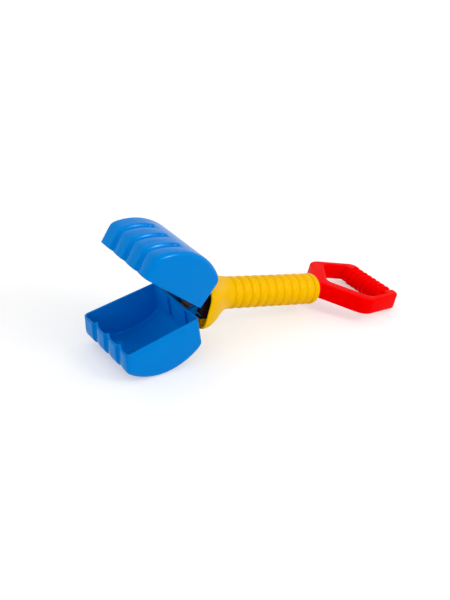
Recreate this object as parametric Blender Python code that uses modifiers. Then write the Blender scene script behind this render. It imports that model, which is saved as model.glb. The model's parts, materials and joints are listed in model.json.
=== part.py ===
"""Toy sand grabber: two scoops hinged in the flared head of a ribbed tube.

A red loop handle at the rear pulls a rod through the tube. A cross pin on the rod runs in curved
slots in the scoops' hinge lugs, so pulling the handle out swings both scoops shut.
X runs along the tube from the hinge line to the handle, Y across, Z up, before the toy is laid down.
"""
from math import cos, hypot, pi, radians, sin

import bmesh
import bpy
import numpy
from mathutils import Matrix, Vector

MM = 0.001

# Fits and facets shared by all pieces
FIT_GAP = 0.3 * MM
PRESS_DEPTH = 1.0 * MM
WELD = 0.00001
ROUND_SIDES = 22
PIN_SIDES = 12
SMOOTH_ANGLE = radians(35)
FLAT_ANGLE = radians(0.5)

# Yellow grip body: ribbed tube with a flared head
TUBE_END = 199 * MM
TUBE_RADIUS = 20 * MM
TUBE_WALL = 4 * MM
END_LIP = 3 * MM
END_ROUND = 5 * MM
END_STEPS = (0, 0.5, 1)
RIDGE_START = 58.4 * MM
RIDGE_COUNT = 10
RIDGE_DEPTH = 1.5 * MM
RIDGE_STEPS = (0, 0.15, 0.5, 0.85)
COLLAR_LENGTH = 9.3 * MM
HEAD_MOUTH = -3 * MM
HEAD_END = 57 * MM
MOUTH_SIDE_ROOM = 13 * MM
MOUTH_HEADROOM = 17 * MM
MOUTH_WALL = 2.5 * MM
MOUTH_SQUARENESS = 5
BODY_SIDES = 28
HEAD_ROWS = 8

# Hinges and the curved slots that work them
HINGE_OFFSET = 10 * MM
HINGE_PIN_RADIUS = 2.5 * MM
SWING = radians(24.8)
STROKE = 18 * MM
DRIVE_PIN_START = 7.5 * MM
DRIVE_PIN_RADIUS = 2 * MM
LUG_INNER = 14.2 * MM
LUG_OUTER = 23.8 * MM
LUG_THICKNESS = 5 * MM
LUG_BOSS_RADIUS = 6 * MM
LUG_WEB = 2.3 * MM
LUG_ROOT = 12 * MM
LUG_SIDES = 16
SLOT_STEPS = 10
SLOT_END_STEPS = 6
RIB_WIDTH = 11.5 * MM
RIB_DEPTH = 1.4 * MM
RIB_HEIGHT = 32 * MM
RIB_SKIN = 1 * MM

# Blue scoops, one moulding used twice
JAW_SETBACK = 12 * MM
JAW_LENGTH = 98.5 * MM
JAW_HALF_WIDTH = 48.2 * MM
JAW_FRONT_FLARE = 2.8 * MM
JAW_SPREAD = 0.8 * MM
JAW_DEPTH = 52.8 * MM
JAW_ARC_RADIUS = 77.6 * MM
JAW_CREST = 43.3 * MM
JAW_FRONT_LEAN = -2.3 * MM
JAW_WALL = 2.5 * MM
JAW_EDGE_RADIUS = 7 * MM
JAW_REAR_ROUND = 7 * MM
JAW_CORNER_STEPS = 3
JAW_BACK_ROWS = 10
JAW_FRONT_STEPS = (0.15, 0.55, 1)
RIM_GAP = 0.6 * MM
RIM_TRIM = 1 * MM
FLUTE_PITCH = 25 * MM
FLUTE_DEPTH = 3 * MM
FLUTE_HALF_WIDTH = 8.5 * MM
FLUTE_RUN = 36 * MM
FLUTE_TIP_SHARE = 0.35
FLUTE_RISE = 0.7
FLUTE_SHARPNESS = 1.5
FLUTE_CUTS = (-1, -0.45, 0, 0.45, 1)

# Hinge blocks screwed inside the head
BLOCK_LENGTH = 12 * MM
BLOCK_WIDTH = 9 * MM
BLOCK_EDGE = 1.2 * MM
BLOCK_FRONT = -2.5 * MM
BLOCK_SKIN = 1 * MM
BOSS_INSET = 0.5 * MM
BOSS_RISE = 3.4 * MM
SCREW_AT = 4.5 * MM
SCREW_RADIUS = 1.5 * MM
SCREW_HEAD_RADIUS = 3 * MM
SCREW_HEAD_HEIGHT = 1.8 * MM
SCREW_SINK = 2 * MM
SCREW_TIP = 6 * MM
SCREW_SLOT_WIDTH = 0.8 * MM
SCREW_SLOT_DEPTH = 0.9 * MM

# Pull rod and its bushes
ROD_RADIUS = 7 * MM
ROD_NOSE_HALF = 5.5 * MM
ROD_NOSE_THICKNESS = 8.8 * MM
ROD_NOSE_LENGTH = 24 * MM
SLEEVE_RADIUS = 11 * MM
SLEEVE_LENGTH = 24 * MM
SLEEVE_FLOOR = 4 * MM
STOP_GAP = 0.5 * MM
BUSH_LENGTH = 13 * MM
JOIN_PIN_RADIUS = 2 * MM

# Red loop handle
HANDLE_GAP = 0.8 * MM
HANDLE_LENGTH = 121.4 * MM
HANDLE_WIDEST_AT = 47.5 * MM
HANDLE_NECK = 9.5 * MM
HANDLE_HALF_NECK = 9 * MM
HANDLE_HALF_WIDEST = 61.5 * MM
HANDLE_HALF_END = 42.7 * MM
HANDLE_HEIGHT = 20 * MM
HANDLE_WEB = 28.3 * MM
HANDLE_HOLE_TIP = 3 * MM
HANDLE_BAR = 17.4 * MM
HANDLE_RAIL = 8.6 * MM
HANDLE_CORNER = 9 * MM
HANDLE_EDGE = 1 * MM
HANDLE_NOOK = 2.5 * MM
HANDLE_EDGE_ANGLE = radians(60)
HANDLE_STEPS = 4
GRIP_RADIUS = 13.6 * MM
GRIP_RIDGE_COUNT = 10
GRIP_RIDGE_DEPTH = 1.4 * MM

# Search for the tilt at which the toy lies still
STEEPEST_TILT = radians(40)
TILT_HALVINGS = 50

# Values that follow from the sizes above
BORE_RADIUS = TUBE_RADIUS - TUBE_WALL
HANDLE_START = TUBE_END + HANDLE_GAP
HANDLE_REAR = HANDLE_START + HANDLE_LENGTH
REAR_BUSH_FRONT = TUBE_END - END_LIP - FIT_GAP - BUSH_LENGTH
SLEEVE_REAR = REAR_BUSH_FRONT - STOP_GAP - STROKE
SLEEVE_FRONT = SLEEVE_REAR - SLEEVE_LENGTH
DRIVE_PIN_HALF = LUG_OUTER + LUG_THICKNESS / 2 + PRESS_DEPTH / 2
BLOCK_INNER = DRIVE_PIN_HALF + 2 * FIT_GAP
HINGE_PIN_HALF = BLOCK_INNER + BLOCK_WIDTH - BLOCK_SKIN - FIT_GAP
LUG_PLACES = (-LUG_INNER, LUG_OUTER)
BLOCK_HALF_HEIGHT = HINGE_OFFSET + HINGE_PIN_RADIUS + BLOCK_EDGE
BLOCK_MIDDLE = BLOCK_INNER + BLOCK_WIDTH / 2
BLOCK_REAR = BLOCK_FRONT + BLOCK_LENGTH
MOUTH_HALF_WIDTH = BLOCK_INNER + BLOCK_WIDTH + MOUTH_SIDE_ROOM
MOUTH_HALF_HEIGHT = HINGE_OFFSET + MOUTH_HEADROOM
BOSS_FOOT = MOUTH_HALF_HEIGHT - BOSS_RISE
SCREW_HEAD_FACE = MOUTH_HALF_HEIGHT - SCREW_SINK
JAW_RIM = RIM_GAP / 2 - HINGE_OFFSET
SKIN_RIM = JAW_RIM - RIM_TRIM
JAW_REAR = -JAW_SETBACK
JAW_FRONT = JAW_REAR - JAW_LENGTH
JOIN_AT = (SLEEVE_FRONT + SLEEVE_FLOOR + SLEEVE_REAR) / 2

for leftover in list(bpy.data.objects):
    bpy.data.objects.remove(leftover, do_unlink=True)


def new_collection(name):
    made = bpy.data.collections.new(name)
    bpy.context.scene.collection.children.link(made)
    return made


PARTS = new_collection("sand_grabber")
CUTTERS = new_collection("cutters")


def plastic(name, colour, roughness, metallic=0.0):
    material = bpy.data.materials.new(name)
    material.use_nodes = True
    shader = material.node_tree.nodes["Principled BSDF"]
    shader.inputs["Base Color"].default_value = (*colour, 1.0)
    shader.inputs["Roughness"].default_value = roughness
    shader.inputs["Metallic"].default_value = metallic
    return material


def place(name, mesh, material, location=(0, 0, 0), turn=(0, 0, 0)):
    """A named piece of the toy, carried by the tube's axis."""
    piece = bpy.data.objects.new(name, mesh)
    PARTS.objects.link(piece)
    piece.parent = AXIS
    piece.location = location
    piece.rotation_euler = turn
    mesh.materials.append(plastic(name, *material))
    return piece


def combine(target, tool_mesh, operation):
    """Join to, or cut from, a piece a shape given in the piece's own frame."""
    tool = bpy.data.objects.new(f"{target.name}_{tool_mesh.name}", tool_mesh)
    CUTTERS.objects.link(tool)
    tool.parent = target
    tool.hide_render = True
    tool.display_type = "WIRE"
    step = target.modifiers.new(tool_mesh.name, "BOOLEAN")
    step.operation = operation
    step.solver = "EXACT"
    step.object = tool


def finished(name, shape):
    mesh = bpy.data.meshes.new(name)
    shape.to_mesh(mesh)
    shape.free()
    mesh.shade_smooth()
    mesh.set_sharp_from_angle(angle=SMOOTH_ANGLE)
    return mesh


def box(name, low, high):
    shape = bmesh.new()
    bmesh.ops.create_cube(shape, size=1)
    size = Vector(high) - Vector(low)
    centre = (Vector(high) + Vector(low)) / 2
    fit = Matrix.Translation(centre) @ Matrix.Diagonal((*size, 1))
    bmesh.ops.transform(shape, matrix=fit, verts=shape.verts)
    return finished(name, shape)


TURN_TO = {"X": Matrix.Rotation(pi / 2, 4, "Y"), "Y": Matrix.Rotation(-pi / 2, 4, "X"), "Z": Matrix()}


def cylinder(name, radius, start, end, axis, centre, sides=PIN_SIDES):
    """A round bar from start to end along an axis through centre."""
    shape = bmesh.new()
    bmesh.ops.create_cone(
        shape, cap_ends=True, segments=sides, radius1=radius, radius2=radius, depth=end - start
    )
    lift = Matrix.Translation((0, 0, (start + end) / 2))
    stand = Matrix.Translation(centre) @ TURN_TO[axis] @ lift
    bmesh.ops.transform(shape, matrix=stand, verts=shape.verts)
    return finished(name, shape)


def turned(name, profile, axis, centre=(0, 0, 0), closed=False):
    """A turned shape: (radius, distance) points from the far end down its outer side."""
    mesh = bpy.data.meshes.new(name)
    last = len(profile) - 1
    edges = [(i, i + 1) for i in range(last)]
    if closed:
        edges.append((last, 0))
    mesh.from_pydata([(radius, 0, along) for radius, along in profile], edges, [])
    lathe = bpy.data.objects.new(name, mesh)
    CUTTERS.objects.link(lathe)
    screw = lathe.modifiers.new("turn", "SCREW")
    screw.steps = ROUND_SIDES
    screw.render_steps = ROUND_SIDES
    screw.use_merge_vertices = True
    screw.merge_threshold = WELD
    solid = evaluated_mesh(lathe)
    bpy.data.objects.remove(lathe)
    shape = bmesh.new()
    shape.from_mesh(solid)
    bmesh.ops.remove_doubles(shape, verts=shape.verts, dist=WELD)
    bmesh.ops.transform(shape, matrix=Matrix.Translation(centre) @ TURN_TO[axis], verts=shape.verts)
    return finished(name, shape)


def evaluated_mesh(thing):
    graph = bpy.context.evaluated_depsgraph_get()
    return bpy.data.meshes.new_from_object(thing.evaluated_get(graph))


def plate(name, outline, thickness, matrix):
    """A flat plate: an outline in its own XY plane, thickened evenly and moved by matrix."""
    curve = bpy.data.curves.new(name, "CURVE")
    curve.dimensions = "2D"
    curve.fill_mode = "BOTH"
    curve.extrude = thickness / 2
    spline = curve.splines.new("POLY")
    spline.points.add(len(outline) - 1)
    spline.use_cyclic_u = True
    for point, (a, b) in zip(spline.points, outline):
        point.co = (a, b, 0, 1)
    holder = bpy.data.objects.new(name, curve)
    CUTTERS.objects.link(holder)
    solid = evaluated_mesh(holder)
    bpy.data.objects.remove(holder)
    shape = bmesh.new()
    shape.from_mesh(solid)
    bmesh.ops.remove_doubles(shape, verts=shape.verts, dist=WELD)
    bmesh.ops.dissolve_limit(shape, angle_limit=FLAT_ANGLE, verts=shape.verts, edges=shape.edges)
    bmesh.ops.recalc_face_normals(shape, faces=shape.faces)
    bmesh.ops.transform(shape, matrix=matrix, verts=shape.verts)
    return finished(name, shape)


def rounded(corners, steps):
    """An outline from (a, b, radius) corners, each corner with a radius turned into an arc."""
    outline = []
    count = len(corners)
    for i, (a, b, radius) in enumerate(corners):
        here = Vector((a, b))
        if not radius:
            outline.append((a, b))
            continue
        back = (Vector(corners[i - 1][:2]) - here).normalized()
        ahead = (Vector(corners[(i + 1) % count][:2]) - here).normalized()
        half_angle = back.angle(ahead) / 2
        middle = (back + ahead).normalized()
        centre = here + middle * (radius / sin(half_angle))
        first = here + back * (radius / abs(sin(half_angle) / cos(half_angle))) - centre
        last = here + ahead * (radius / abs(sin(half_angle) / cos(half_angle))) - centre
        sweep = first.angle_signed(last)
        for k in range(steps + 1):
            spoke = Matrix.Rotation(-sweep * k / steps, 2) @ first
            outline.append(tuple(centre + spoke))
    return outline


def mix(start, end, share):
    return start + (end - start) * share


AXIS = bpy.data.objects.new("tube_axis", None)
PARTS.objects.link(AXIS)

YELLOW = ((0.94, 0.50, 0.0), 0.38)
BLUE = ((0.0, 0.215, 0.672), 0.34)
RED = ((0.92, 0.0, 0.0), 0.36)
WHITE = ((0.78, 0.78, 0.74), 0.42)
STEEL = ((0.62, 0.62, 0.64), 0.3, 1.0)


# Grip body: one moulding, open at the head, with a lip round the handle's spigot at the rear
def body_ring(x, half_width, half_height, squareness):
    ring = []
    for i in range(BODY_SIDES):
        across = cos(2 * pi * i / BODY_SIDES)
        up = sin(2 * pi * i / BODY_SIDES)
        reach = (abs(across) ** squareness + abs(up) ** squareness) ** (-1 / squareness)
        ring.append((x, half_width * reach * across, half_height * reach * up))
    return ring


def head_ring(share, wall, radius):
    blend = share * share * (3 - 2 * share)
    half_width = mix(MOUTH_HALF_WIDTH - wall, radius, blend)
    half_height = mix(MOUTH_HALF_HEIGHT - wall, radius, blend)
    squareness = mix(MOUTH_SQUARENESS, 2, blend)
    return body_ring(mix(HEAD_MOUTH, HEAD_END, share), half_width, half_height, squareness)


def body_rings():
    rings = [head_ring(row / HEAD_ROWS, 0, TUBE_RADIUS) for row in range(HEAD_ROWS + 1)]
    collar = TUBE_END - COLLAR_LENGTH
    pitch = (collar - RIDGE_START) / RIDGE_COUNT
    tube = []
    for ridge in range(RIDGE_COUNT):
        for share in RIDGE_STEPS:
            depth = RIDGE_DEPTH * (1 - sin(pi * share))
            tube.append((RIDGE_START + pitch * (ridge + share), TUBE_RADIUS - depth))
    tube.append((collar, TUBE_RADIUS - RIDGE_DEPTH))
    for share in END_STEPS:
        along = TUBE_END - END_ROUND * (1 - sin(share * pi / 2))
        tube.append((along, TUBE_RADIUS - END_ROUND * (1 - cos(share * pi / 2))))
    lip_radius = ROD_RADIUS + 2 * FIT_GAP
    tube += [(TUBE_END, lip_radius), (TUBE_END - END_LIP, lip_radius), (TUBE_END - END_LIP, BORE_RADIUS)]
    rings += [body_ring(x, radius, radius, 2) for x, radius in tube]
    rings += [head_ring(1 - row / HEAD_ROWS, MOUTH_WALL, BORE_RADIUS) for row in range(HEAD_ROWS + 1)]
    return rings


def loft(name, rings):
    """A closed skin through rings of equal count, the last ring joined back to the first."""
    shape = bmesh.new()
    rows = [[shape.verts.new(point) for point in ring] for ring in rings]
    for row, following in zip(rows, rows[1:] + rows[:1]):
        for i in range(BODY_SIDES):
            k = (i + 1) % BODY_SIDES
            shape.faces.new((row[i], row[k], following[k], following[i]))
    bmesh.ops.recalc_face_normals(shape, faces=shape.faces)
    return finished(name, shape)


SIDES = (("left", -1), ("right", 1))


def across(side, inner, outer):
    """The lower and upper Y of a span from inner to outer on one side of the middle."""
    return sorted((side * inner, side * outer))


def grip_body():
    body = place("grip_body", loft("grip_body", body_rings()), YELLOW)
    for name, side in SIDES:
        y_low, y_high = across(side, BLOCK_INNER + BOSS_INSET, BLOCK_INNER + BLOCK_WIDTH - BOSS_INSET)
        low = (BLOCK_FRONT + PRESS_DEPTH, y_low, -BOSS_FOOT)
        high = (BLOCK_REAR - BOSS_INSET, y_high, -BLOCK_HALF_HEIGHT - FIT_GAP)
        combine(body, box(f"boss_{name}", low, high), "UNION")
    for name, side in SIDES:
        centre = (SCREW_AT, side * BLOCK_MIDDLE, 0)
        seat = -SCREW_HEAD_FACE + SCREW_HEAD_HEIGHT + FIT_GAP
        sink = cylinder(f"sink_{name}", SCREW_HEAD_RADIUS + FIT_GAP, -2 * SCREW_HEAD_FACE, seat, "Z", centre)
        hole = cylinder(f"hole_{name}", SCREW_RADIUS + FIT_GAP, -2 * SCREW_HEAD_FACE, 0, "Z", centre)
        combine(body, sink, "DIFFERENCE")
        combine(body, hole, "DIFFERENCE")


def hinge_blocks():
    """Two blocks that hold the ends of both hinge pins, each pulled onto a boss by one screw."""
    for name, side in SIDES:
        y_low, y_high = across(side, BLOCK_INNER, BLOCK_INNER + BLOCK_WIDTH)
        low = (BLOCK_FRONT, y_low, -BLOCK_HALF_HEIGHT)
        high = (BLOCK_REAR, y_high, BLOCK_HALF_HEIGHT)
        block = place(f"hinge_block_{name}", box(f"hinge_block_{name}", low, high), RED)
        for level, height in (("upper", HINGE_OFFSET), ("lower", -HINGE_OFFSET)):
            y_low, y_high = across(side, 0, HINGE_PIN_HALF + FIT_GAP)
            hole = cylinder(f"{level}_hole", HINGE_PIN_RADIUS + FIT_GAP, y_low, y_high, "Y", (0, 0, height))
            combine(block, hole, "DIFFERENCE")
        centre = (SCREW_AT, side * BLOCK_MIDDLE, 0)
        pilot_end = -SCREW_TIP + FIT_GAP
        pilot = cylinder("pilot", SCREW_RADIUS + FIT_GAP, -2 * SCREW_HEAD_FACE, pilot_end, "Z", centre)
        combine(block, pilot, "DIFFERENCE")
        face = -SCREW_HEAD_FACE
        collar = face + SCREW_HEAD_HEIGHT
        shank = [(0, -SCREW_TIP), (SCREW_RADIUS, -SCREW_TIP), (SCREW_RADIUS, collar)]
        head = [(SCREW_HEAD_RADIUS, collar), (SCREW_HEAD_RADIUS, face), (0, face)]
        screw = place(f"block_screw_{name}", turned("block_screw", shank + head, "Z", centre), STEEL)
        slot_half = SCREW_SLOT_WIDTH / 2
        slot_low = (SCREW_AT - SCREW_HEAD_RADIUS, centre[1] - slot_half, 2 * face)
        slot_high = (SCREW_AT + SCREW_HEAD_RADIUS, centre[1] + slot_half, face + SCREW_SLOT_DEPTH)
        combine(screw, box("slot", slot_low, slot_high), "DIFFERENCE")


# Scoops: local frame on the hinge axis, closed position, front towards -X
def jaw_profile():
    """The scoop's side outline in (x, z), from the rear rim over the back to the front rim."""
    crest = JAW_REAR - JAW_CREST
    centre = JAW_DEPTH - JAW_ARC_RADIUS - HINGE_OFFSET

    def back_height(x):
        return centre + (JAW_ARC_RADIUS ** 2 - (x - crest) ** 2) ** 0.5

    knee = JAW_FRONT + JAW_FRONT_LEAN
    beyond = JAW_REAR - 3 * JAW_REAR_ROUND
    shoulder = (JAW_REAR, back_height(JAW_REAR), JAW_REAR_ROUND)
    corner = [(JAW_REAR, SKIN_RIM, 0), shoulder, (beyond, back_height(beyond), 0)]
    points = rounded(corner, JAW_CORNER_STEPS)[:-1]
    first = points[-1][0] - JAW_REAR_ROUND
    for row in range(JAW_BACK_ROWS + 1):
        x = mix(first, knee, row / JAW_BACK_ROWS)
        points.append((x, back_height(x)))
    knee_height = points[-1][1]
    for share in JAW_FRONT_STEPS:
        points.append((mix(knee, JAW_FRONT, share), mix(knee_height, SKIN_RIM, share)))
    return points


def jaw_skin():
    """The scoop's outer skin: the side outline drawn across, edges rounded, flutes pressed in."""
    shape = bmesh.new()
    near = [shape.verts.new((x, -JAW_HALF_WIDTH, z)) for x, z in jaw_profile()]
    side = shape.faces.new(near)
    drawn = bmesh.ops.extrude_face_region(shape, geom=[side])
    far = [item for item in drawn["geom"] if isinstance(item, bmesh.types.BMVert)]
    bmesh.ops.translate(shape, vec=(0, 2 * JAW_HALF_WIDTH, 0), verts=far)
    bmesh.ops.recalc_face_normals(shape, faces=shape.faces)
    corners = []
    for edge in shape.edges:
        one, other = edge.verts
        along_side = abs(one.co.y - other.co.y) < WELD
        on_rim = max(one.co.z, other.co.z) < SKIN_RIM + WELD
        if along_side and not on_rim:
            corners.append(edge)
    bmesh.ops.bevel(
        shape,
        geom=corners,
        offset=JAW_EDGE_RADIUS,
        segments=JAW_CORNER_STEPS,
        profile=0.5,
        affect="EDGES",
        material=-1,
    )
    mouth = [face for face in shape.faces if max(vert.co.z for vert in face.verts) < SKIN_RIM + WELD]
    bmesh.ops.delete(shape, geom=mouth, context="FACES_ONLY")
    for flute in (-1, 0, 1):
        for share in FLUTE_CUTS:
            cut_at = (0, flute * FLUTE_PITCH + share * FLUTE_HALF_WIDTH, 0)
            everything = list(shape.verts) + list(shape.edges) + list(shape.faces)
            bmesh.ops.bisect_plane(shape, geom=everything, dist=WELD, plane_co=cut_at, plane_no=(0, 1, 0))
    press_flutes(shape)
    widen_front(shape)
    return shape


def press_flutes(shape):
    """Three tapering V grooves up the front wall, each dying out on the scoop's back."""
    shape.normal_update()
    front = JAW_FRONT + JAW_FRONT_LEAN
    moves = []
    for vert in shape.verts:
        strength = min(1, max(0, (front + FLUTE_RUN - vert.co.x) / FLUTE_RUN))
        flute = min(1, max(-1, round(vert.co.y / FLUTE_PITCH)))
        half_width = FLUTE_HALF_WIDTH * mix(FLUTE_TIP_SHARE, 1, strength)
        offset = abs(vert.co.y - flute * FLUTE_PITCH) / half_width
        if strength and offset < 1:
            depth = FLUTE_DEPTH * strength ** FLUTE_RISE * (1 - offset) ** FLUTE_SHARPNESS
            moves.append((vert, vert.normal * -depth))
    for vert, move in moves:
        vert.co += move


def widen_front(shape):
    """Side walls that spread away from the rim, and a rim that is a little wider at the front."""
    for vert in shape.verts:
        forward = (JAW_REAR - vert.co.x) / JAW_LENGTH
        height = (vert.co.z - JAW_RIM) / JAW_DEPTH
        half_width = JAW_HALF_WIDTH + JAW_FRONT_FLARE * forward + JAW_SPREAD * height
        vert.co.y *= half_width / JAW_HALF_WIDTH


def slot_path():
    """The drive pin's path seen from the jaw, so that the jaw turns evenly with the rod's travel."""
    path = []
    for step in range(SLOT_STEPS + 1):
        share = step / SLOT_STEPS
        turn = SWING * (1 - share)
        pin = DRIVE_PIN_START + STROKE * share
        along = pin * cos(turn) + HINGE_OFFSET * sin(turn)
        path.append((along, pin * sin(turn) - HINGE_OFFSET * cos(turn)))
    return path


def circle(centre, radius):
    turns = [2 * pi * i / LUG_SIDES for i in range(LUG_SIDES)]
    return [(centre[0] + radius * cos(turn), centre[1] + radius * sin(turn)) for turn in turns]


def hull(points):
    """The outline of a string drawn tight round the points."""
    ordered = sorted(set(points))

    def half(run):
        chain = []
        for x, y in run:
            while len(chain) > 1 and (chain[-1][0] - chain[-2][0]) * (y - chain[-2][1]) <= (
                chain[-1][1] - chain[-2][1]
            ) * (x - chain[-2][0]):
                chain.pop()
            chain.append((x, y))
        return chain[:-1]

    return half(ordered) + half(ordered[::-1])


def slot_outline(half_width, path):
    """A slot of even width round a path, with round ends."""
    left = []
    right = []
    for i, (x, z) in enumerate(path):
        before = path[max(i - 1, 0)]
        after = path[min(i + 1, len(path) - 1)]
        length = hypot(after[0] - before[0], after[1] - before[1])
        normal = (-(after[1] - before[1]) / length, (after[0] - before[0]) / length)
        left.append((x + normal[0] * half_width, z + normal[1] * half_width))
        right.append((x - normal[0] * half_width, z - normal[1] * half_width))

    def cap(centre, start):
        arm = Vector(start) - Vector(centre)
        turns = [Matrix.Rotation(pi * k / SLOT_END_STEPS, 2) @ arm for k in range(1, SLOT_END_STEPS)]
        return [tuple(Vector(centre) + turn) for turn in turns]

    return right + cap(path[-1], right[-1]) + left[::-1] + cap(path[0], left[0])


UPRIGHT = Matrix.Rotation(pi / 2, 4, "X")


def jaw(name, location, turn):
    scoop = place(name, finished(name, jaw_skin()), BLUE, location, turn)
    wall = scoop.modifiers.new("wall", "SOLIDIFY")
    wall.thickness = JAW_WALL
    wall.offset = -1
    wall.use_even_offset = True
    trim_low = (2 * JAW_FRONT, -2 * JAW_HALF_WIDTH, 2 * SKIN_RIM)
    combine(scoop, box("rim_trim", trim_low, (0, 2 * JAW_HALF_WIDTH, JAW_RIM)), "DIFFERENCE")
    foot = JAW_RIM + LUG_WEB
    path = slot_path()
    slot_half = DRIVE_PIN_RADIUS + FIT_GAP
    bosses = circle((0, 0), LUG_BOSS_RADIUS)
    for end in (path[0], path[-1]):
        bosses += circle(end, slot_half + LUG_WEB)
    root = [(JAW_REAR - JAW_WALL / 2, foot), (JAW_REAR - JAW_WALL / 2, foot + LUG_ROOT)]
    outline = hull(bosses + root)
    for number, y in enumerate(LUG_PLACES):
        low = (JAW_REAR - JAW_WALL / 2, y - RIB_WIDTH / 2, foot)
        high = (JAW_REAR + RIB_DEPTH, y + RIB_WIDTH / 2, foot + RIB_HEIGHT)
        combine(scoop, box(f"rib_{number}", low, high), "UNION")
        stand = Matrix.Translation((0, y, 0)) @ UPRIGHT
        combine(scoop, plate(f"lug_{number}", outline, LUG_THICKNESS, stand), "UNION")
    for number, y in enumerate(LUG_PLACES):
        core_half = RIB_WIDTH / 2 - RIB_SKIN
        low = (JAW_REAR - 2 * JAW_WALL, y - core_half, foot + RIB_SKIN)
        high = (JAW_REAR + RIB_DEPTH - RIB_SKIN, y + core_half, foot + RIB_HEIGHT - RIB_SKIN)
        combine(scoop, box(f"core_{number}", low, high), "DIFFERENCE")
        stand = Matrix.Translation((0, y, 0)) @ UPRIGHT
        slot = plate(f"slot_{number}", slot_outline(slot_half, path), 2 * LUG_THICKNESS, stand)
        combine(scoop, slot, "DIFFERENCE")
    eye = cylinder("eye", HINGE_PIN_RADIUS + FIT_GAP, -2 * LUG_OUTER, 2 * LUG_OUTER, "Y", (0, 0, 0))
    combine(scoop, eye, "DIFFERENCE")


def hinge_pins():
    for name, height in (("upper_hinge_pin", HINGE_OFFSET), ("lower_hinge_pin", -HINGE_OFFSET)):
        bar = cylinder(name, HINGE_PIN_RADIUS, -HINGE_PIN_HALF, HINGE_PIN_HALF, "Y", (0, 0, 0))
        place(name, bar, STEEL, (0, 0, height))


# Rod: flat nose with the drive pin's eye, round shank, and a sleeve over the handle's spigot
def push_rod():
    nose_rear = DRIVE_PIN_START + ROD_NOSE_LENGTH
    shank = [
        (0, SLEEVE_REAR),
        (SLEEVE_RADIUS, SLEEVE_REAR),
        (SLEEVE_RADIUS, SLEEVE_FRONT),
        (ROD_RADIUS, SLEEVE_FRONT - (SLEEVE_RADIUS - ROD_RADIUS)),
        (ROD_RADIUS, nose_rear),
        (0, nose_rear),
    ]
    rod = place("push_rod", turned("push_rod", shank, "X"), RED)
    sunk = nose_rear + PRESS_DEPTH
    tip = circle((DRIVE_PIN_START, 0), ROD_NOSE_HALF)
    outline = hull(tip + [(sunk, -ROD_NOSE_HALF), (sunk, ROD_NOSE_HALF)])
    combine(rod, plate("nose", outline, ROD_NOSE_THICKNESS, UPRIGHT), "UNION")
    pin_at = (DRIVE_PIN_START, 0, 0)
    eye = cylinder("eye", DRIVE_PIN_RADIUS + FIT_GAP, -DRIVE_PIN_HALF, DRIVE_PIN_HALF, "Y", pin_at)
    combine(rod, eye, "DIFFERENCE")
    floor = SLEEVE_FRONT + SLEEVE_FLOOR
    socket = cylinder("socket", ROD_RADIUS + FIT_GAP, floor, TUBE_END, "X", (0, 0, 0), ROUND_SIDES)
    combine(rod, socket, "DIFFERENCE")
    combine(rod, join_hole(), "DIFFERENCE")
    bar = cylinder("drive_pin", DRIVE_PIN_RADIUS, -DRIVE_PIN_HALF, DRIVE_PIN_HALF, "Y", pin_at)
    place("drive_pin", bar, STEEL)


def join_hole():
    half = 2 * SLEEVE_RADIUS
    return cylinder("join_hole", JOIN_PIN_RADIUS + FIT_GAP, -half, half, "Y", (JOIN_AT, 0, 0))


def bushes():
    front_bush = HEAD_END + FIT_GAP
    for name, start in (("front_bush", front_bush), ("rear_bush", REAR_BUSH_FRONT)):
        outer = BORE_RADIUS - FIT_GAP
        inner = ROD_RADIUS + FIT_GAP
        end = start + BUSH_LENGTH
        ring = [(outer, end), (outer, start), (inner, start), (inner, end)]
        place(name, turned(name, ring, "X", closed=True), WHITE)


# Handle: flat loop with a ribbed cross grip and a spigot that runs in the tube
def line_meet(point, direction, other_point, other_direction):
    cross = direction.x * other_direction.y - direction.y * other_direction.x
    gap = other_point - point
    return point + direction * ((gap.x * other_direction.y - gap.y * other_direction.x) / cross)


def handle_outline():
    """The loop's outline without its cross grip: out along one arm, and back inside it."""
    root = Vector((HANDLE_START, HANDLE_HALF_NECK))
    neck = Vector((HANDLE_START + HANDLE_NECK, HANDLE_HALF_NECK))
    widest = Vector((HANDLE_START + HANDLE_WIDEST_AT, HANDLE_HALF_WIDEST))
    end = Vector((HANDLE_REAR, HANDLE_HALF_END))
    bar = (widest - neck).normalized()
    rail = (end - widest).normalized()
    bar_inner = neck + Vector((bar.y, -bar.x)) * HANDLE_BAR
    rail_inner = end + Vector((rail.y, -rail.x)) * HANDLE_RAIL
    apex = Vector((HANDLE_START + HANDLE_WEB, HANDLE_HOLE_TIP))
    bend = line_meet(bar_inner, bar, rail_inner, rail)
    tail = line_meet(rail_inner, rail, Vector((HANDLE_REAR, 0)), Vector((0, 1)))
    arm = [
        (*root, HANDLE_NOOK),
        (*neck, HANDLE_NOOK),
        (*widest, HANDLE_CORNER),
        (*end, HANDLE_RAIL / 2),
        (*tail, HANDLE_NOOK),
        (*bend, HANDLE_NOOK),
        (*apex, HANDLE_NOOK),
    ]
    mirrored = [(x, -y, radius) for x, y, radius in arm[::-1]]
    return rounded(arm + mirrored, HANDLE_STEPS)


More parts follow.
